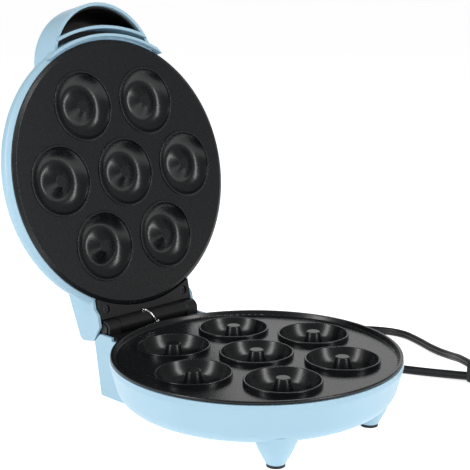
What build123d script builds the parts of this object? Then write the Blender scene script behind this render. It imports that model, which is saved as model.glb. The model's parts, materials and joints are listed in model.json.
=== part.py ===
"""Mini donut maker: a hinged pair of round cooking plates with seven ring cavities each.

The model is built about the plates' own vertical axis with the lid shut, z = 0 being the surface
that the appliance stands on, +X along the hinge and -Y towards the handle. The lid is then turned
open about the hinge, and everything is moved so that the origin lies under the middle of the box
of the open appliance. All sizes are in millimetres.
"""

import math
import os

from build123d import *

# ---------------------------------------------------------------- driving dimensions
WALL = 2.2  # moulded casing wall
GAP = 0.3  # clearance between pieces that only lie beside each other

PLATE_R = 100.0  # base cooking plate
LID_PLATE_R = 99.1
PLATE_TOP = 50.6  # rim of the base plate
LID_FACE = 51.0  # rings of the lid plate, with the lid shut
CAVITY_PCD_R = 59.5  # six cavities stand round the middle one at this radius
RING_R = 25.65  # outside of a base cavity's raised ring
LID_RING_R = 25.9
CAVITY_DEPTH = 12.0
LID_CAVITY_DEPTH = 7.0

HINGE_Y = 111.0
HINGE_Z = 51.0
LID_OPEN_DEG = 102.0
BARREL_R = 6.3
BARREL_HALF = 32.0
KNUCKLE_IN = 33.0
KNUCKLE_OUT = 43.6
PIN_R = 2.4
SPRING_SWEEP_R = 8.6  # room that the spring's leg needs round the hinge line
SPRING_ROOM = (-7.4, 5.0)

HOUSING_HALF = 47.0  # half width of both rear housings
SHELL_RIM_Z = 48.1
LID_RIM_Z = 54.2
FOOT_X, FOOT_Y = 47.4, -62.0
BOSSES = [(-53.0, -8.0), (53.0, -8.0), (0.0, 54.0)]  # screws that hold the base together

HOOD_Y, HOOD_R, HOOD_Z = -79.9, 47.4, 55.3  # the hollow handle at the lid's front
RIB_IN, RIB_OUT, RIB_Z = 107.7, 109.9, 53.6
LIP_IN, LIP_OUT = 101.4, 103.4  # proud lip between the handle and the lid plate
COVER_SCREW_X, COVER_SCREW_Y = 38.3, 97.0

LAMP_X, LAMP_Y = 9.0, -50.0
ELEMENT_R, ELEMENT_TUBE_R = 63.0, 3.2

CORD_D = 6.6
CORD_EXIT = (47.0, 106.0, 12.5)
RELIEF_LENGTH = 28.0

ORIGIN_Y = 47.162  # from the plates' axis to the middle of the open appliance's box

HINGE_AXIS = Axis((0, HINGE_Y, HINGE_Z), (1, 0, 0))

# Casing outlines as (radius, height) corners with the radius of each corner's round.
BOWL = [(0, 13.3), (57.4, 13.3), (94.1, 20.8), (100.4, 44.6), (100.1, SHELL_RIM_Z)]
BOWL_ROUNDS = [40.0, 14.0, 3.0]
DOME = [(0, 99.5), (77.5, 97.0), (103.0, 61.5), (101.9, 57.2), (99.2, LID_RIM_Z)]
DOME_ROUNDS = [27.0, 7.0, 3.0]

# Rear housings as (y, z) corners of their side view.
BASE_HOUSING = [
    (84.0, 1.4), (113.9, 1.4), (119.8, 40.0), (112.0, 47.7), (98.9, 47.7), (98.9, 45.2), (84.0, 45.2),
]
LID_HOUSING = [
    (50.0, 89.6), (115.9, 76.6), (119.1, 73.2), (119.5, 61.6), (109.2, 52.0), (100.4, 52.0), (96.0, 55.0), (50.0, 55.0),
]


# ---------------------------------------------------------------- helpers
def turned(*edges):
    """Solid of revolution about the plates' axis of a closed outline in the XZ plane."""
    return revolve(make_face(Wire(list(edges))), Axis.Z)


def turned_corners(corners):
    """Solid of revolution of straight runs through (radius, height) corners."""
    return revolve(make_face(Polyline(*[(r, 0, z) for r, z in corners], close=True)), Axis.Z)


def rod(radius, start, end, inner=0.0):
    """Round bar from start to end, bored through when inner is given."""
    way = Vector(*end) - Vector(*start)
    plane = Plane(origin=start, z_dir=way)
    bar = plane * Cylinder(radius, way.length, align=(Align.CENTER, Align.CENTER, Align.MIN))
    if inner:
        bar -= plane * Cylinder(inner, way.length, align=(Align.CENTER, Align.CENTER, Align.MIN))
    return bar


def upright(radius, x, y, low, high, inner=0.0):
    return rod(radius, (x, y, low), (x, y, high), inner)


def hinge_rod(radius, start, end, inner=0.0):
    """Round bar on the hinge line between two places along it."""
    return rod(radius, (start, HINGE_Y, HINGE_Z), (end, HINGE_Y, HINGE_Z), inner)


def block(x, y, z):
    """Box between pairs of limits."""
    size = [high - low for low, high in (x, y, z)]
    middle = [(high + low) / 2 for low, high in (x, y, z)]
    return Pos(*middle) * Box(*size)


def side_plate(corners, half_width, rounds=None):
    """Prism of a side view's (y, z) corners across the hinge direction."""
    outline = [(0, y, z) for y, z in corners]
    if rounds:
        wire = FilletPolyline(*outline, radius=rounds, close=True)
    else:
        wire = Polyline(*outline, close=True)
    return extrude(make_face(wire), half_width, dir=(1, 0, 0), both=True)


def inset(corners, wall):
    """(radius, height) corners moved inwards by the wall, keeping the first on the axis and the last at its height."""
    centre_z = (corners[0][1] + corners[-1][1]) / 2
    moved = []
    for (r0, z0), (r1, z1) in zip(corners, corners[1:]):
        length = math.hypot(r1 - r0, z1 - z0)
        nr, nz = -(z1 - z0) / length, (r1 - r0) / length
        if nr * -r0 + nz * (centre_z - z0) < 0:
            nr, nz = -nr, -nz
        moved.append(((r0 + nr * wall, z0 + nz * wall), (r1 + nr * wall, z1 + nz * wall)))
    first = (0.0, moved[0][0][1])
    middle = [crossing(a, b) for a, b in zip(moved, moved[1:])]
    (r0, z0), (r1, z1) = moved[-1]
    end_z = corners[-1][1]
    last = (r0 + (r1 - r0) * (end_z - z0) / (z1 - z0), end_z)
    return [first, *middle, last]


def crossing(line_a, line_b):
    """Point where two infinite lines cross."""
    (ax, ay), (bx, by) = line_a
    (cx, cy), (dx, dy) = line_b
    ux, uy, vx, vy = bx - ax, by - ay, dx - cx, dy - cy
    along = ((cx - ax) * vy - (cy - ay) * vx) / (ux * vy - uy * vx)
    return (ax + ux * along, ay + uy * along)


def inner_rounds(rounds):
    return [radius - WALL for radius in rounds]


def cup(corners, rounds, end_z):
    """Solid between the outline of a turned casing and the level end_z."""
    outline = [(r, 0, z) for r, z in corners]
    curve = FilletPolyline(*outline, radius=rounds)
    (last_r, last_z), first_z = corners[-1], corners[0][1]
    down = [] if abs(end_z - last_z) < 1e-6 else [(last_r, 0, last_z)]
    closing = Polyline(*down, (last_r, 0, end_z), (0, 0, end_z), (0, 0, first_z))
    return turned(*curve.edges(), *closing.edges())


def cavity_places():
    """Centres of the seven cavities."""
    ring = [
        (CAVITY_PCD_R * math.cos(math.radians(a)), CAVITY_PCD_R * math.sin(math.radians(a)))
        for a in range(0, 360, 60)
    ]
    return [(0.0, 0.0), *ring]


def opened(shape):
    """A lid piece turned from shut to its open rest."""
    return shape.rotate(HINGE_AXIS, -LID_OPEN_DEG)


# ---------------------------------------------------------------- base casing
def rear_housing(corners, rounding, is_rear):
    """Solid of a rear housing with all edges of its upright rear face rounded."""
    housing = side_plate(corners, HOUSING_HALF)
    rear = [f for f in housing.faces() if f.normal_at().Y > 0.9 and is_rear(f)]
    return fillet(rear[0].edges(), rounding)


def base_shell():
    bowl = cup(BOWL, BOWL_ROUNDS, SHELL_RIM_Z)
    outer = bowl + rear_housing(BASE_HOUSING, 2.5, lambda face: face.center().Z < 40)
    for x in (-FOOT_X, FOOT_X):
        outer += foot(x)
    for x, y in BOSSES:
        outer += upright(7.0, x, y, 8.6, 17.0)

    inner = cup(inset(BOWL, WALL), inner_rounds(BOWL_ROUNDS), SHELL_RIM_Z + 1)
    room = side_plate(
        [(86.2, 3.6), (112.0, 3.6), (116.9, 36.0), (110.6, 41.4), (110.6, 50.0), (96.0, 50.0), (86.2, 44.0)],
        HOUSING_HALF - WALL,
    )
    shell = outer - inner - room
    shell -= hinge_rod(BARREL_R + 0.4, -HOUSING_HALF + WALL, HOUSING_HALF - WALL)
    shell -= hinge_rod(SPRING_SWEEP_R, *SPRING_ROOM)
    for x in (-FOOT_X, FOOT_X):
        shell -= foot_hollow(x)
        shell -= upright(5.3, x * 0.76, 100.0, 0.0, 2.6)
    for x, y in BOSSES:
        shell += upright(5.5, x, y, 14.0, 23.8)
        shell -= upright(2.2, x, y, 0.0, 30.0)
        shell -= upright(4.2, x, y, 0.0, 12.0)
    x, y, z = CORD_EXIT
    return shell - rod(4.6, (x - 6, y, z), (x + 6, y, z))


def foot_outline(inside):
    """Flared foot: (radius, height) corners of its outer or inner surface."""
    if inside:
        return [(0, 4.2), (4.2, 4.2), (6.3, 7.8), (9.1, 13.3), (11.6, 19.2), (13.8, 26.0), (0, 26.0)]
    return [(0, 2.0), (6.2, 2.0), (8.3, 5.8), (11.2, 11.3), (13.7, 17.4), (16.0, 24.0), (0, 24.0)]


def foot(x):
    return Pos(x, FOOT_Y, 0) * turned_corners(foot_outline(False))


def foot_hollow(x):
    return Pos(x, FOOT_Y, 0) * (turned_corners(foot_outline(True)) + upright(2.6, 0, 0, 0, 6))


def foot_pads():
    """Rubber buttons: a peg through each front foot, and two discs let into the housing's underside."""
    pads = []
    for x in (-FOOT_X, FOOT_X):
        pads.append(upright(6.1, x, FOOT_Y, 0.0, 1.95) + upright(2.4, x, FOOT_Y, 1.0, 5.2))
        pads.append(upright(5.1, x * 0.76, 100.0, 0.0, 2.55))
    return Compound(pads)


def base_screws():
    """Three pan-head screws that pull the plate down through the reflector and the bosses."""
    screws = []
    for x, y in BOSSES:
        head = upright(3.8, x, y, 9.4, 11.9) - block((x - 2.6, x + 2.6), (y - 0.5, y + 0.5), (9.0, 10.2))
        head -= block((x - 0.5, x + 0.5), (y - 2.6, y + 2.6), (9.0, 10.2))
        screws.append(head + upright(1.9, x, y, 11.0, 35.0))
    return Compound(screws)


# ---------------------------------------------------------------- cooking plates
def base_cavity_cup():
    """One base cavity: raised ring, ring-shaped trough and the tapered peg that forms the donut's hole."""
    top, field = PLATE_TOP - 0.5, PLATE_TOP - 3.5
    bottom = top - CAVITY_DEPTH
    peg = FilletPolyline((0, 0, top + 1.0), (4.9, 0, top + 1.0), (6.9, 0, bottom + 4.4), radius=0.9)
    trough = Spline(
        (6.9, 0, bottom + 4.4), (15.4, 0, bottom), (23.6, 0, top - 2.4), tangents=[(0.23, 0, -0.97), (0.3, 0, 0.95)]
    )
    lip = FilletPolyline(
        (23.6, 0, top - 2.4), (24.35, 0, top), (RING_R, 0, top), (RING_R + 0.2, 0, field - 0.1), radius=0.55
    )
    under = Polyline(
        (RING_R + 0.2, 0, field - 0.1), (27.4, 0, field - 3.4), (25.0, 0, field - 8.0), (20.0, 0, bottom - 3.1),
        (0, 0, bottom - 3.1), (0, 0, top + 1.0),
    )
    return turned(*peg.edges(), trough, *lip.edges(), *under.edges())


def lid_cavity_cup():
    """One lid cavity: low ring and a shallow trough that rises gently to a small flat middle."""
    face = LID_FACE
    top = face + LID_CAVITY_DEPTH
    middle = FilletPolyline((0, 0, face + 1.8), (4.2, 0, face + 1.8), (4.8, 0, face + 2.3), radius=0.25)
    trough = Spline(
        (4.8, 0, face + 2.3), (9.2, 0, face + 5.0), (14.4, 0, top), (20.0, 0, face + 5.1), (23.9, 0, face + 1.4),
        tangents=[(0.8, 0, 0.6), (0.5, 0, -0.86)],
    )
    lip = FilletPolyline(
        (23.9, 0, face + 1.4), (24.4, 0, face), (LID_RING_R, 0, face), (LID_RING_R + 0.1, 0, face + 1.0), radius=0.45
    )
    under = Polyline(
        (LID_RING_R + 0.1, 0, face + 1.0), (27.4, 0, face + 4.4), (24.0, 0, face + 7.4), (20.0, 0, top + 2.8),
        (0, 0, top + 2.8), (0, 0, face + 1.8),
    )
    return turned(*middle.edges(), trough, *lip.edges(), *under.edges())


def plate_disc(edge, rounds, flange, under):
    """Flat casting; edge gives the (radius, height) corners from its field out to the foot of its rim."""
    field = edge[0][1]
    radius, foot_z = edge[-1]
    face = FilletPolyline((0, 0, field), *[(r, 0, z) for r, z in edge], radius=rounds)
    back = Polyline(
        (radius, 0, foot_z), (radius - flange, 0, foot_z), (radius - flange - 0.2, 0, under), (0, 0, under),
        (0, 0, field),
    )
    return turned(*face.edges(), *back.edges())


def with_cavities(disc, cavity_cup, mouth_r, low, high):
    """The disc with a cup let into it at each cavity's place."""
    plate = disc
    for x, y in cavity_places():
        plate -= upright(mouth_r, x, y, low, high)
        plate += Pos(x, y, 0) * cavity_cup
    return plate


def base_plate():
    field = PLATE_TOP - 3.5
    rim = [(PLATE_R - 2.4, PLATE_TOP), (PLATE_R, PLATE_TOP), (PLATE_R, SHELL_RIM_Z + 1.1)]
    disc = plate_disc([(PLATE_R - 3.4, field), *rim], [1.2, 0.8, 0.9], 2.4, field - 3.5)
    plate = with_cavities(disc, base_cavity_cup(), RING_R, field - 10, PLATE_TOP + 1)
    for x, y in BOSSES:
        root = field - 3.0 if y > 0 else 36.4
        plate += upright(3.0, x, y, 25.1, root)
        plate -= upright(1.95, x, y, 25.0, 35.8)
    return plate


def lid_plate():
    field = LID_FACE + 0.9
    rim = [(LID_PLATE_R, field + 1.1), (LID_PLATE_R, LID_RIM_Z - GAP)]
    disc = plate_disc([(LID_PLATE_R - 2.8, field), *rim], [0.6, 0.5], 4.4, field + 3.5)
    plate = with_cavities(disc, lid_cavity_cup(), LID_RING_R, LID_FACE - 1, field + 8)
    for x, y in BOSSES:
        root = field + 3.0 if y > 0 else 60.2
        plate += upright(3.0, x, y, root, 76.9)
        plate -= upright(1.55, x, y, 67.0, 77.0)
    return plate


# ---------------------------------------------------------------- heating
def heating_element(z):
    """Tubular element: an open ring under the outer cavities."""
    section = Plane.XZ * (Pos(ELEMENT_R, z) * Circle(ELEMENT_TUBE_R))
    ring = revolve(section, Axis.Z, 330)
    return ring.rotate(Axis.Z, 105)


def element_pins(z):
    """Terminal pins at the element's two ends, by the hinge."""
    pins = []
    for angle in (75, 105):
        a = math.radians(angle)
        turn = math.radians(angle + (90 if angle == 75 else -90))
        start = (ELEMENT_R * math.cos(a), ELEMENT_R * math.sin(a), z)
        end = (start[0] + 7 * math.cos(turn), start[1] + 7 * math.sin(turn), z)
        pins.append(rod(1.4, start, end))
    return Compound(pins)


def reflector(flat_z, lip_z):
    """Pressed steel tray that turns the element's heat towards the plate, with holes for the posts."""
    up = 1 if lip_z > flat_z else -1
    tray = turned_corners([
        (22.0, flat_z), (84.0, flat_z), (86.0, lip_z), (86.8, lip_z), (84.6, flat_z - 0.8 * up), (22.0, flat_z - 0.8 * up),
    ])
    for x, y in BOSSES:
        tray -= upright(2.2, x, y, min(flat_z, lip_z) - 3, max(flat_z, lip_z) + 3)
    return tray


def lid_reflector_screws():
    screws = []
    for x, y in BOSSES:
        screws.append(upright(3.0, x, y, 78.1, 79.9) + upright(1.5, x, y, 68.0, 78.5))
    return Compound(screws)


def lid_plate_clips():
    """Spring-steel straps that hook the lid reflector to ribs of the dome."""
    clips = []
    for angle in (30, 150, 270):
        turn = Rot(0, 0, angle)
        foot_bar = block((70.0, 84.0), (-5, 5), (78.1, 78.8))
        rise = block((70.0, 70.8), (-5, 5), (78.1, 88.0))
        clips.append(turn * (foot_bar + rise))
    return Compound(clips)


def thermostat():
    """Bimetal disc thermostat pressed against the middle cavity, with its two tabs."""
    body = upright(8.0, 0, 0, 27.0, 32.4) + upright(9.2, 0, 0, 32.0, 34.7)
    for x in (-4.5, 4.5):
        body += block((x - 0.4, x + 0.4), (-3, 3), (21.5, 28.0))
    return body


def thermostat_bracket():
    strap = block((-15.0, 15.0), (-5, 5), (25.6, 26.7)) - block((-6.5, 6.5), (-4, 4), (24.0, 28.0))
    for x in (-15.0, 14.0):
        strap += block((x, x + 1.0), (-5, 5), (25.6, 34.7))
    return strap


def thermal_fuse():
    """Fuse in its glass-fibre sleeve, lying under the plate."""
    return rod(2.2, (-9, -31, 29.5), (9, -31, 29.5)) + rod(0.6, (-16, -31, 29.5), (16, -31, 29.5))


def wire(points, rounds, radius=1.1):
    path = FilletPolyline(*points, radius=rounds)
    return sweep(Plane(path @ 0, z_dir=path % 0) * Circle(radius), path=path)


def base_wiring():
    """Insulated leads: terminal block to the element's two pins, to the thermostat, and on to the fuse."""
    leads = []
    for side in (-1, 1):
        to_element = [(14, 97.8, 20), (14, 91.5, 20.5), (14, 90, 32.4), (9.5, 64.6, 31.6)]
        leads.append(wire([(side * x, y, z) for x, y, z in to_element], 2.5))
    leads.append(wire([(0, 97.6, 20), (5, 88, 23.1), (9.5, 58, 20.6), (9.5, 30, 19), (4.5, 3.5, 23.5)], 3))
    leads.append(wire([(-4.5, -3.6, 23.4), (-8, -11, 23.6), (-14, -20, 27.4), (-17.3, -31, 29.5)], 3))
    return Compound(leads)


def terminal_block():
    body = block((-20, 20), (98.0, 110.0), (12, 24))
    for x in (-14, 0, 14):
        body -= upright(2.6, x, 104.0, 18, 25)
    return body


def terminal_screws():
    return Compound([upright(2.4, x, 104.0, 18.6, 23.0) for x in (-14, 0, 14)])


def cord_clamp():
    """Saddle that grips the cord's outer sheath inside the housing."""
    x, y, z = CORD_EXIT
    saddle = block((x - 15, x - 7), (y - 7.0, y + 4.8), (z - 6.5, z + 5.5))
    return saddle - rod(3.6, (x - 20, y, z), (x, y, z))


# ---------------------------------------------------------------- hinge
def hinge_bracket():
    """Black moulding in the top of the rear housing, with the two outer knuckles."""
    body = block((-44.4, 44.4), (95.5, 110.2), (40.5, 47.2))
    for side in (-1, 1):
        near, far = side * KNUCKLE_IN, side * KNUCKLE_OUT
        low, high = sorted((near, far))
        knuckle = hinge_rod(BARREL_R, near, far)
        body += fillet(knuckle.edges().group_by(Axis.X)[min(side, 0)], 0.7)
        body += block((low, high), (HINGE_Y - BARREL_R, HINGE_Y - 0.8), (44.0, HINGE_Z))
        body += hinge_rod(3.9, far - side, far + side * 0.8)
    body -= hinge_rod(BARREL_R + 0.5, -KNUCKLE_IN, KNUCKLE_IN)
    body -= hinge_rod(SPRING_SWEEP_R, *SPRING_ROOM)
    body -= hinge_rod(PIN_R + 0.05, -KNUCKLE_OUT + 1.2, 60)
    return body - upright(PLATE_R + 0.6, 0, 0, 43.0, 60)


def hinge_block():
    """Black cover between the lid plate and the hinge, moulded in one with the middle barrel."""
    tongue = side_plate([(86.0, 51.8), (104.0, 51.8), (107.0, 52.6), (107.0, 56.0), (86.0, 56.0)], 44.4)
    tongue -= upright(LID_PLATE_R + 0.35, 0, 0, 40, 70)
    tongue -= hinge_rod(BARREL_R + 0.6, -60, -BARREL_HALF)
    tongue -= hinge_rod(BARREL_R + 0.6, BARREL_HALF, 60)
    body = tongue + hinge_rod(BARREL_R, -BARREL_HALF, BARREL_HALF)
    body -= hinge_rod(PIN_R + 0.05, -60, 60)
    body -= hinge_rod(4.6, -11, 11)
    body -= block((-6.9, -4.7), (HINGE_Y - 9, HINGE_Y), (HINGE_Z - 1.7, HINGE_Z + 1.2))
    for x in (-COVER_SCREW_X, COVER_SCREW_X):
        body -= upright(3.2, x, COVER_SCREW_Y, 50.0, 54.6)
        body -= upright(1.7, x, COVER_SCREW_Y, 50.0, 60.0)
    return body


def hinge_cover_screws():
    """Cross-head screws deep in the cover's two wells."""
    screws = []
    for x in (-COVER_SCREW_X, COVER_SCREW_X):
        head = upright(2.9, x, COVER_SCREW_Y, 53.1, 54.5)
        head -= block((x - 2.0, x + 2.0), (COVER_SCREW_Y - 0.4, COVER_SCREW_Y + 0.4), (52.9, 53.8))
        head -= block((x - 0.4, x + 0.4), (COVER_SCREW_Y - 2.0, COVER_SCREW_Y + 2.0), (52.9, 53.8))
        screws.append(head + upright(1.5, x, COVER_SCREW_Y, 54.0, 66.0))
    return Compound(screws)


def hinge_pin():
    return hinge_rod(PIN_R, -KNUCKLE_OUT + 1.4, KNUCKLE_OUT + 0.8)


def hinge_washers():
    washers = []
    for side in (-1, 1):
        washers.append(hinge_rod(6.0, side * (BARREL_HALF + 0.3), side * KNUCKLE_IN, PIN_R + 0.05))
    return Compound(washers)


def hinge_spring():
    """Torsion spring: its coil round the pin inside the barrel, and the leg that lies over the barrel."""
    coil = hinge_rod(4.3, -9, 9, 2.9)
    over_barrel = [(-5.6, 180), (-4.6, 206), (-3.3, 236), (-2.0, 264), (-0.7, 288), (0.9, 300), (2.7, 290)]
    points = [(-5.8, HINGE_Y - 3.6, HINGE_Z - 0.2)]
    for x, degrees in over_barrel:
        a = math.radians(degrees)
        reach = BARREL_R + 1.0
        points.append((x, HINGE_Y + reach * math.cos(a), HINGE_Z + reach * math.sin(a)))
    return coil + wire(points, 0.8, 0.68)


# ---------------------------------------------------------------- lid casing
def hood(radius, low, high, round_top=0.0):
    body = upright(radius, 0, HOOD_Y, low, high)
    return fillet(body.edges().group_by(Axis.Z)[-1], round_top) if round_top else body


def ring_wall(inner, outer, low, high):
    """Upright wall concentric with the plates."""
    return upright(outer, 0, 0, low, high, inner)


def lid_shell():
    dome = cup(DOME, DOME_ROUNDS, LID_RIM_Z)
    housing = rear_housing(LID_HOUSING, 1.8, lambda face: face.center().Z > 62)
    outer = dome + housing + hood(HOOD_R, HOOD_Z, 88.0, 11.0)

    inner = cup(inset(DOME, WALL), inner_rounds(DOME_ROUNDS), LID_RIM_Z - 1)
    room = side_plate(
        [(50.0, 87.2), (114.8, 74.4), (116.9, 72.0), (117.2, 61.0), (108.0, 50.0), (80.0, 50.0), (50.0, 53.0)],
        HOUSING_HALF - WALL,
    )
    shell = outer - inner - room
    hollow = hood(HOOD_R - 2.4, LID_RIM_Z - 1, 85.6, 9.0)
    shell -= hollow - upright(RIB_OUT, 0, 0, 50, 90)
    shell -= hood(HOOD_R - 2.4, LID_RIM_Z - 1, 80.0) & ring_wall(LIP_OUT + 0.1, RIB_IN, LID_RIM_Z - 1, 80.0)
    shell += hood(HOOD_R - 1.2, RIB_Z, 70.0) & ring_wall(RIB_IN, RIB_OUT, RIB_Z, 70.0)
    shell += ring_wall(LIP_IN, LIP_OUT, LID_FACE, 60.5) & upright(67.2, 0, -45.0, LID_FACE, 60.5)
    shell -= hinge_rod(BARREL_R + 0.7, -HOUSING_HALF + WALL, HOUSING_HALF - WALL)
    for x in (-COVER_SCREW_X, COVER_SCREW_X):
        shell += upright(4.0, x, COVER_SCREW_Y, 56.2, 79.0)
        shell -= upright(1.6, x, COVER_SCREW_Y, 56.0, 68.0)
    for x in (-LAMP_X, LAMP_X):
        shell -= upright(4.15, x, LAMP_Y, 90, 105)
    return shell


def handle_liner():
    """Dark inner mouldings that line the handle's hollow and the slot behind the rib."""
    cup_outer = hood(HOOD_R - 2.7, 58.0, 85.2, 8.8) - upright(RIB_OUT + 0.3, 0, 0, 50, 90)
    cup_inner = hood(HOOD_R - 3.9, 57.0, 84.0, 8.0) - upright(RIB_OUT + 1.5, 0, 0, 50, 90)
    strip = hood(HOOD_R - 2.7, 66.0, 79.7) & ring_wall(104.3, RIB_IN - 0.3, 66.0, 79.7)
    return Compound([(cup_outer - cup_inner).solid(), strip.solid()])


def lens(x):
    """Indicator lens: a domed button with a stem through the casing."""
    top = upright(5.2, x, LAMP_Y, 99.1, 100.6)
    top = fillet(top.edges().group_by(Axis.Z)[-1], 1.2)
    return top + upright(4.0, x, LAMP_Y, 94.0, 99.5)


def lamp_holders():
    return Compound([upright(4.6, x, LAMP_Y, 84.0, 93.8) for x in (-LAMP_X, LAMP_X)])


def lid_wiring():
    """Leads from the hinge to the lid's element, and over the back of the reflector to the lamps."""
    leads = []
    for side in (-1, 1):
        to_element = [(20, 103, 57.3), (20, 103, 64), (18, 90, 66), (12, 72, 68), (9.5, 64.6, 69.8)]
        to_lamp = [(3, 103, 57.3), (3, 103, 66), (3, 92, 75.8), (3, 84, 79.2), (3.2, 70, 84), (9, -20, 86), (9, -45.2, 86)]
        leads.append(wire([(side * x, y, z) for x, y, z in to_element], 2.5))
        leads.append(wire([(side * x, y, z) for x, y, z in to_lamp], 2.5, 0.8))
    return Compound(leads)


# ---------------------------------------------------------------- mains cord
CORD_ROUTE = [
    (75.0, 106.0, 12.5),
    (97.0, 107.0, 10.6),
    (121.0, 107.5, 4.6),
    (146.0, 105.0, 3.4),
    (172.0, 98.5, 3.4),
    (197.0, 86.0, 3.4),
    (217.5, 68.0, 3.4),
    (227.5, 43.0, 3.4),
    (219.0, 19.5, 3.4),
    (208.5, -3.0, 3.4),
    (199.5, -25.0, 5.2),
    (183.8, -45.5, 11.3),
    (169.6, -73.0, 11.3),
    (161.5, -89.0, 6.6),
    (151.5, -114.0, 3.4),
    (150.5, -142.0, 3.4),
    (166.0, -166.0, 3.4),
    (190.0, -174.5, 3.4),
    (211.5, -160.0, 3.4),
    (217.0, -133.0, 3.4),
    (204.5, -108.5, 3.4),
    (191.5, -92.0, 4.3),
    (178.5, -77.0, 4.4),
    (164.5, -50.0, 4.2),
    (155.5, -27.0, 3.4),
    (147.5, -7.0, 3.4),
    (138.0, 11.0, 4.9),
    (126.5, 28.0, 10.6),
]
PLUG_TILT = 15.5
PLUG_TURN = 124.1


def cord_radii(route):
    """Radius of each corner of the cord: as large as its two runs allow."""
    radii = []
    for a, b, c in zip(route, route[1:], route[2:]):
        before, after = Vector(*b) - Vector(*a), Vector(*c) - Vector(*b)
        turn = math.radians(before.get_angle(after))
        radii.append(0.45 * min(before.length, after.length) / math.tan(turn / 2))
    return radii


def mains_cord():
    radii = cord_radii(CORD_ROUTE)
    path = FilletPolyline(*CORD_ROUTE, radius=radii)
    cord = sweep(Plane(path @ 0, z_dir=path % 0) * Circle(CORD_D / 2), path=path)
    section = math.pi * CORD_D**2 / 4
    print("cord radii", [round(r) for r in radii])
    print("cord length", round(path.length), "volume", round(cord.volume), "expected", round(section * path.length))
    return cord


def strain_relief():
    """Tapered rubber sleeve with a groove that holds it in the housing's side wall."""
    x, y, z = CORD_EXIT
    start, end = x + 0.4, x + RELIEF_LENGTH
    flange = rod(6.4, (x + 0.1, y, z), (x + 1.9, y, z))
    neck = rod(4.4, (x - 4.5, y, z), (x + 0.5, y, z))
    plane = Plane(origin=(start, y, z), z_dir=(1, 0, 0))
    taper = plane * Cone(5.4, 4.1, end - start, align=(Align.CENTER, Align.CENTER, Align.MIN))
    sleeve = flange + neck + taper
    for step in range(5):
        groove_x = start + 6.0 + 4.2 * step
        sleeve -= rod(7.0, (groove_x, y, z), (groove_x + 1.3, y, z), 3.9)
    return sleeve


def cord_tie():
    """Wrapped band where the folded cord crosses itself."""
    outer = Box(15.0, 9.0, 16.0)
    outer = fillet(outer.edges().filter_by(Axis.Y), 3.6)
    inner = Box(13.4, 10.0, 14.2)
    inner = fillet(inner.edges().filter_by(Axis.Y), 2.6)
    return Pos(173.5, -67.0, 8.05) * (outer - inner)


def plug_frame():
    """Where the plug lies: its tail at the cord's end, tilted down onto the floor."""
    x, y, z = CORD_ROUTE[-1]
    return Pos(x, y, z) * Rot(0, 0, PLUG_TURN) * Rot(0, -PLUG_TILT, 0)


def mains_plug():
    """Moulded two-pin plug with a round face and a tapered grip."""
    body = Rot(0, 90, 0) * turned_corners([
        (0, 0), (5.2, 0), (6.2, 10.0), (11.0, 17.0), (16.0, 23.0), (18.6, 29.0), (18.6, 36.0), (17.6, 37.0), (0, 37.0),
    ])
    for side in (-1, 1):
        body -= block((24.0, 38.0), (side * 17.2 - 1.6, side * 17.2 + 1.6), (-4.0, 4.0))
        body -= rod(2.5, (30.0, 0, side * 9.5), (38.0, 0, side * 9.5))
    return body


def plug_pins():
    pins = []
    for side in (-1, 1):
        pin = rod(2.4, (30.2, 0, side * 9.5), (56.0, 0, side * 9.5))
        pins.append(fillet(pin.edges().group_by(Axis.X)[-1], 1.8))
    return Compound(pins)


def plug_earth_clips():
    clips = []
    for side in (-1, 1):
        low, high = sorted((side * 15.9, side * 17.1))
        clips.append(block((24.4, 36.6), (low, high), (-3.6, 3.6)))
    return Compound(clips)


# ---------------------------------------------------------------- assembly
def plug_pieces():
    frame = plug_frame()
    return {
        "mains_plug": frame * mains_plug(),
        "plug_pins": frame * plug_pins(),
        "plug_earth_clips": frame * plug_earth_clips(),
    }


def base_pieces():
    return {
        "base_shell": base_shell(),
        "foot_pads": foot_pads(),
        "base_screws": base_screws(),
        "base_plate": base_plate(),
        "base_element": heating_element(31.3),
        "base_element_pins": element_pins(31.3),
        "base_reflector": reflector(24.8, 30.0),
        "thermostat": thermostat(),
        "thermostat_bracket": thermostat_bracket(),
        "thermal_fuse": thermal_fuse(),
        "terminal_block": terminal_block(),
        "terminal_screws": terminal_screws(),
        "base_wiring": base_wiring(),
        "cord_clamp": cord_clamp(),
        "hinge_bracket": hinge_bracket(),
        "hinge_pin": hinge_pin(),
        "hinge_washers": hinge_washers(),
        "strain_relief": strain_relief(),
        "mains_cord": mains_cord(),
        "cord_tie": cord_tie(),
        **plug_pieces(),
    }


def lid_pieces():
    return {
        "lid_shell": lid_shell(),
        "handle_liner": handle_liner(),
        "lid_plate": lid_plate(),
        "lid_element": heating_element(69.8),
        "lid_element_pins": element_pins(69.8),
        "lid_reflector": reflector(77.1, 71.0),
        "lid_reflector_screws": lid_reflector_screws(),
        "lid_plate_clips": lid_plate_clips(),
        "hinge_block": hinge_block(),
        "hinge_cover_screws": hinge_cover_screws(),
        "hinge_spring": hinge_spring(),
        "power_lens": lens(-LAMP_X),
        "ready_lens": lens(LAMP_X),
        "lamp_holders": lamp_holders(),
        "lid_wiring": lid_wiring(),
    }


def main():
    os.makedirs("parts", exist_ok=True)
    pieces = base_pieces()
    pieces.update({name: opened(shape) for name, shape in lid_pieces().items()})
    for name, shape in pieces.items():
        export_step(Pos(0, -ORIGIN_Y, 0) * shape, f"parts/{name}.step")


main()
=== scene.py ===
import json
import math

import bpy
from mathutils import Matrix, Vector


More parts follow.
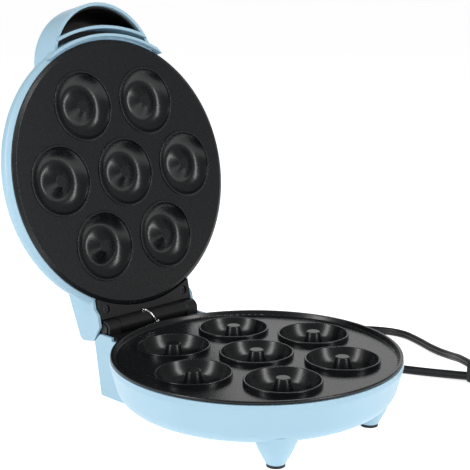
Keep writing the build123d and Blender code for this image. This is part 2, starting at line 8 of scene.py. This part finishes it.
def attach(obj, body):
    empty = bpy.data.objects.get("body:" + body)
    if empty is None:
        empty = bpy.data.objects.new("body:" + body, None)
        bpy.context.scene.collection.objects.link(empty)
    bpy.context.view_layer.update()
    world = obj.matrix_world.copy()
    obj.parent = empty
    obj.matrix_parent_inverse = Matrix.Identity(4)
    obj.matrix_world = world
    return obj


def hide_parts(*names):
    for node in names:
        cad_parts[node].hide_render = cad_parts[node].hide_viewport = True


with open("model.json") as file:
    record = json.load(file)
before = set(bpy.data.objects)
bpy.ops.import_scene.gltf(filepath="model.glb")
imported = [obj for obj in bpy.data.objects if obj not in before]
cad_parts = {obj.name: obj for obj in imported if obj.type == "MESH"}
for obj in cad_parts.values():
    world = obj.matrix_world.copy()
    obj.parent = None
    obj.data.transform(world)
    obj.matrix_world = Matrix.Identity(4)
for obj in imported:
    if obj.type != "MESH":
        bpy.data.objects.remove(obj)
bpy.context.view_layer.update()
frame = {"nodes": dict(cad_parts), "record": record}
nodes = frame["nodes"]
scene = bpy.context.scene
scene.view_settings.view_transform = "Standard"


# ---------------------------------------------------------------- small helpers
def link(obj):
    scene.collection.objects.link(obj)
    return obj


def mesh_object(name, verts, faces):
    """A smooth-shaded mesh object from vertex and face lists."""
    mesh = bpy.data.meshes.new(name)
    mesh.from_pydata([tuple(v) for v in verts], [], faces)
    mesh.update()
    for poly in mesh.polygons:
        poly.use_smooth = True
    return link(bpy.data.objects.new(name, mesh))


def set_material(obj, material):
    obj.data.materials.clear()
    obj.data.materials.append(material)


# ---------------------------------------------------------------- camera
CAMERA_PLACE = (-0.5363, -0.5548, 0.2915)
CAMERA_RIGHT = (0.7018, -0.7124, 0.0)
CAMERA_BACK = (-0.6962, -0.6859, 0.2120)
CAMERA_LENS = 86.25
CAMERA_SENSOR = 36.0
CAMERA_REACH = 50.0


def add_camera():
    """A long lens level across, looking a little down at the open appliance from its left front."""
    right = Vector(CAMERA_RIGHT).normalized()
    back = Vector(CAMERA_BACK).normalized()
    up = back.cross(right).normalized()
    camera = link(bpy.data.objects.new("camera", bpy.data.cameras.new("camera")))
    turn = Matrix((right, up, back)).transposed().to_4x4()
    camera.matrix_world = Matrix.Translation(CAMERA_PLACE) @ turn
    camera.data.lens = CAMERA_LENS
    camera.data.sensor_width = CAMERA_SENSOR
    camera.data.clip_end = CAMERA_REACH
    scene.camera = camera


# ---------------------------------------------------------------- mains cord
CORD_ROUTE = [
    (0.0750, 0.0588, 0.0125),
    (0.0970, 0.0598, 0.0106),
    (0.1210, 0.0603, 0.0046),
    (0.1460, 0.0578, 0.0034),
    (0.1720, 0.0513, 0.0034),
    (0.1970, 0.0388, 0.0034),
    (0.2175, 0.0208, 0.0034),
    (0.2275, -0.0042, 0.0034),
    (0.2190, -0.0277, 0.0034),
    (0.2085, -0.0502, 0.0034),
    (0.1995, -0.0722, 0.0052),
    (0.1838, -0.0927, 0.0113),
    (0.1696, -0.1202, 0.0113),
    (0.1615, -0.1362, 0.0066),
    (0.1515, -0.1612, 0.0034),
    (0.1505, -0.1892, 0.0034),
    (0.1660, -0.2132, 0.0034),
    (0.1900, -0.2217, 0.0034),
    (0.2115, -0.2072, 0.0034),
    (0.2170, -0.1802, 0.0034),
    (0.2045, -0.1557, 0.0034),
    (0.1915, -0.1392, 0.0043),
    (0.1785, -0.1242, 0.0044),
    (0.1645, -0.0972, 0.0042),
    (0.1555, -0.0742, 0.0034),
    (0.1475, -0.0542, 0.0034),
    (0.1380, -0.0362, 0.0049),
    (0.1265, -0.0192, 0.0106),
]
CORD_WIDTH = 0.0066
CORD_THICKNESS = 0.0042
CORD_RESOLUTION = 10
LOBE_POINTS = 11
LOBE_START = -62.0  # degrees; each lobe is an arc from just past the groove round to its other side
LOBE_TURN = 30.4


def route_points(name, route):
    """Points along the smooth line that the route steers."""
    curve = bpy.data.curves.new(name, "CURVE")
    curve.dimensions = "3D"
    curve.resolution_u = CORD_RESOLUTION
    spline = curve.splines.new("NURBS")
    spline.points.add(len(route) - 1)
    for point, place in zip(spline.points, route):
        point.co = (*place, 1.0)
    spline.order_u = 3
    spline.use_endpoint_u = True
    holder = link(bpy.data.objects.new(name, curve))
    bpy.context.view_layer.update()
    line = bpy.data.meshes.new_from_object(holder.evaluated_get(bpy.context.evaluated_depsgraph_get()))
    points = [v.co.copy() for v in line.vertices]
    bpy.data.objects.remove(holder)
    return points


def twin_section():
    """Outline of a flat twin cord: two lobes with a shallow groove between them, (across, up)."""
    outline = []
    lobe = CORD_THICKNESS / 2
    middle = CORD_WIDTH / 2 - lobe
    for side in (1, -1):
        for step in range(LOBE_POINTS):
            a = math.radians(LOBE_START + (0 if side == 1 else 180) + LOBE_TURN * step)
            outline.append((lobe * math.cos(a), side * middle + lobe * math.sin(a)))
    return outline


def tube_along(name, points, outline):
    """Skin of a section carried along the points, its second direction kept as upright as it can be."""
    verts, faces = [], []
    count = len(outline)
    for i, place in enumerate(points):
        ahead = points[min(i + 1, len(points) - 1)] - points[max(i - 1, 0)]
        ahead.normalize()
        across = ahead.cross(Vector((0, 0, 1))).normalized()
        up = across.cross(ahead).normalized()
        verts += [place + across * a + up * b for a, b in outline]
    for i in range(len(points) - 1):
        for j in range(count):
            k = (j + 1) % count
            faces.append((i * count + j, i * count + k, (i + 1) * count + k, (i + 1) * count + j))
    faces.append(tuple(range(count)))
    faces.append(tuple(range(len(verts) - 1, len(verts) - count - 1, -1)))
    return mesh_object(name, verts, faces)


def add_cord():
    """The flat mains cord, in the place of the round one."""
    points = route_points("cord_line", CORD_ROUTE)
    cord = tube_along("flat_mains_cord", points, twin_section())
    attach(cord, "base")
    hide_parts("mains_cord")
    return cord


# ---------------------------------------------------------------- materials
def material(name, color, roughness, metallic=0.0, specular=0.5, coat=0.0):
    """A principled material; returns it with its node tree and shader."""
    mat = bpy.data.materials.new(name)
    mat.use_nodes = True
    tree = mat.node_tree
    shader = tree.nodes["Principled BSDF"]
    shader.inputs["Base Color"].default_value = (*color, 1.0)
    shader.inputs["Roughness"].default_value = roughness
    shader.inputs["Metallic"].default_value = metallic
    shader.inputs["Specular IOR Level"].default_value = specular
    shader.inputs["Coat Weight"].default_value = coat
    mat.diffuse_color = (*color, 1.0)
    return mat, tree, shader


def noise(tree, scale, detail=3.0):
    """Noise in the object's own coordinates, its scale in features per metre."""
    coords = tree.nodes.new("ShaderNodeTexCoord")
    texture = tree.nodes.new("ShaderNodeTexNoise")
    texture.inputs["Scale"].default_value = scale
    texture.inputs["Detail"].default_value = detail
    tree.links.new(coords.outputs["Object"], texture.inputs["Vector"])
    return texture.outputs["Fac"]


def vary_colour(tree, shader, factor, low, high, span=(0.3, 0.7)):
    """Base colour that runs from low to high as the factor crosses the span."""
    ramp = tree.nodes.new("ShaderNodeValToRGB")
    ramp.color_ramp.elements[0].position, ramp.color_ramp.elements[1].position = span
    ramp.color_ramp.elements[0].color = (*low, 1.0)
    ramp.color_ramp.elements[1].color = (*high, 1.0)
    tree.links.new(factor, ramp.inputs["Fac"])
    tree.links.new(ramp.outputs["Color"], shader.inputs["Base Color"])


def vary_roughness(tree, shader, factor, low, high):
    """Roughness that follows the factor between low and high."""
    scale = tree.nodes.new("ShaderNodeMapRange")
    scale.inputs["To Min"].default_value = low
    scale.inputs["To Max"].default_value = high
    tree.links.new(factor, scale.inputs["Value"])
    tree.links.new(scale.outputs["Result"], shader.inputs["Roughness"])


def bump(tree, shader, layers):
    """Adds one bump over another; each layer is (height, distance in metres, strength)."""
    normal = None
    for height, distance, strength in layers:
        node = tree.nodes.new("ShaderNodeBump")
        node.inputs["Distance"].default_value = distance
        node.inputs["Strength"].default_value = strength
        tree.links.new(height, node.inputs["Height"])
        if normal is not None:
            tree.links.new(normal, node.inputs["Normal"])
        normal = node.outputs["Normal"]
    tree.links.new(normal, shader.inputs["Normal"])


def blue_shell():
    """Pale blue moulded plastic with a faint satin grain."""
    mat, tree, shader = material("blue_shell", (0.292, 0.447, 0.545), 0.38, specular=0.4, coat=0.06)
    shader.inputs["Coat Roughness"].default_value = 0.2
    vary_colour(tree, shader, noise(tree, 9.0), (0.286, 0.440, 0.538), (0.298, 0.454, 0.552))
    vary_roughness(tree, shader, noise(tree, 60.0), 0.33, 0.43)
    bump(tree, shader, [(noise(tree, 2600.0, 2.0), 0.00004, 0.35), (noise(tree, 240.0, 2.0), 0.00006, 0.2)])
    return mat


def nonstick():
    """Black cooking coat, smooth with a very fine speckle."""
    mat, tree, shader = material("nonstick", (0.0045, 0.0049, 0.0055), 0.27, specular=0.36)
    speckle = noise(tree, 1900.0, 2.0)
    vary_colour(tree, shader, speckle, (0.003, 0.0035, 0.0042), (0.0065, 0.0075, 0.0088), (0.4, 0.7))
    vary_roughness(tree, shader, noise(tree, 420.0), 0.24, 0.30)
    bump(tree, shader, [(noise(tree, 2300.0), 0.00004, 0.09), (noise(tree, 300.0, 2.0), 0.00006, 0.03)])
    return mat


def black_plastic():
    """Black plastic of the hinge and the handle's inside."""
    mat, tree, shader = material("black_plastic", (0.006, 0.006, 0.0065), 0.36, specular=0.32)
    vary_colour(tree, shader, noise(tree, 700.0), (0.0045, 0.0046, 0.005), (0.0075, 0.0076, 0.0082))
    vary_roughness(tree, shader, noise(tree, 500.0), 0.31, 0.40)
    bump(tree, shader, [(noise(tree, 3200.0, 2.0), 0.00004, 0.2)])
    return mat


def steel(name, color, roughness):
    """Bare metal with faint handling marks."""
    mat, tree, shader = material(name, color, roughness, metallic=1.0)
    vary_roughness(tree, shader, noise(tree, 900.0, 4.0), roughness - 0.08, roughness + 0.1)
    bump(tree, shader, [(noise(tree, 1500.0), 0.00003, 0.3)])
    return mat


def rubber(name, color, roughness):
    """Dark soft plastic or rubber with a fine tooth."""
    mat, tree, shader = material(name, color, roughness, specular=0.35)
    vary_colour(tree, shader, noise(tree, 800.0), [c * 0.85 for c in color], [c * 1.2 for c in color])
    bump(tree, shader, [(noise(tree, 2500.0), 0.00006, 0.5)])
    return mat


def plastic(name, color, roughness, transmission=0.0):
    """Plain moulded plastic; the lenses let some light through."""
    mat, tree, shader = material(name, color, roughness)
    shader.inputs["Transmission Weight"].default_value = transmission
    vary_colour(tree, shader, noise(tree, 200.0), [c * 0.96 for c in color], color)
    bump(tree, shader, [(noise(tree, 2600.0, 2.0), 0.00003, 0.3)])
    return mat


def sleeve():
    """Woven heat-proof sleeve of the inner leads."""
    mat, tree, shader = material("lead_sleeve", (0.62, 0.59, 0.52), 0.8)
    vary_colour(tree, shader, noise(tree, 1500.0), (0.50, 0.47, 0.40), (0.68, 0.66, 0.60))
    bump(tree, shader, [(noise(tree, 2400.0, 2.0), 0.0001, 0.6)])
    return mat


def add_materials():
    """Makes every finish and gives each piece the one that its slot names."""
    made = {
        "blue_shell": blue_shell(),
        "black_plastic": black_plastic(),
        "nonstick": nonstick(),
        "steel": steel("steel", (0.52, 0.52, 0.53), 0.34),
        "dark_steel": steel("dark_steel", (0.06, 0.06, 0.065), 0.35),
        "bright_steel": steel("bright_steel", (0.72, 0.71, 0.69), 0.2),
        "reflector": steel("reflector", (0.74, 0.74, 0.75), 0.3),
        "rubber": rubber("rubber", (0.013, 0.013, 0.013), 0.7),
        "cord_sheath": rubber("cord_sheath", (0.003, 0.003, 0.0032), 0.38),
        "tie": rubber("tie", (0.008, 0.008, 0.008), 0.5),
        "white_plastic": plastic("white_plastic", (0.75, 0.75, 0.72), 0.4),
        "lead_sleeve": sleeve(),
        "lens_red": plastic("lens_red", (0.55, 0.02, 0.015), 0.12, 0.3),
        "lens_green": plastic("lens_green", (0.02, 0.38, 0.06), 0.12, 0.3),
    }
    for entry in frame["record"]["subparts"]:
        set_material(nodes[entry["node"]], made[entry["material_slot"]])
    return made


# ---------------------------------------------------------------- stage and light
FLOOR_HALF = 45.0
FLOOR_DROP = 0.0002
FLOOR_GLOW = 0.68
WORLD_STRENGTH = 0.34


def add_stage():
    """A wide, near-white floor and an even white surround."""
    corners = [(x * FLOOR_HALF, y * FLOOR_HALF, 0) for x, y in ((-1, -1), (1, -1), (1, 1), (-1, 1))]
    floor = mesh_object("floor", corners, [(0, 1, 2, 3)])
    floor.location.z = -FLOOR_DROP
    mat, _, shader = material("floor", (0.9, 0.9, 0.9), 0.9, specular=0.0)
    shader.inputs["Emission Color"].default_value = (1.0, 1.0, 1.0, 1.0)
    shader.inputs["Emission Strength"].default_value = FLOOR_GLOW
    set_material(floor, mat)
    world = bpy.data.worlds.new("world")
    world.use_nodes = True
    world.node_tree.nodes["Background"].inputs["Color"].default_value = (1.0, 1.0, 1.0, 1.0)
    world.node_tree.nodes["Background"].inputs["Strength"].default_value = WORLD_STRENGTH
    scene.world = world


LIGHT_TARGET = (0.0, -0.03, 0.08)


def softbox(name, azimuth, elevation, distance, size, power):
    """Rectangular lamp placed round the appliance by angles in degrees, facing it."""
    a, e = math.radians(azimuth), math.radians(elevation)
    target = Vector(LIGHT_TARGET)
    way = Vector((math.cos(a) * math.cos(e), math.sin(a) * math.cos(e), math.sin(e)))
    light = link(bpy.data.objects.new(name, bpy.data.lights.new(name, "AREA")))
    light.data.shape = "RECTANGLE"
    light.data.size, light.data.size_y = size
    light.data.energy = power
    turn = (-way).to_track_quat("-Z", "Y").to_matrix().to_4x4()
    light.matrix_world = Matrix.Translation(target + way * distance) @ turn


def add_lights():
    """Two tall boxes at the sides, which put streaks on the pegs, and a broad low one behind."""
    softbox("key_left", 168, 27, 1.6, (0.3, 1.4), 17)
    softbox("key_right", -80, 27, 1.6, (0.3, 1.4), 17)
    softbox("rim_back", 36, 20, 1.7, (1.9, 0.5), 3.0)


add_camera()
cord = add_cord()
finishes = add_materials()
set_material(cord, finishes["cord_sheath"])
add_stage()
add_lights()
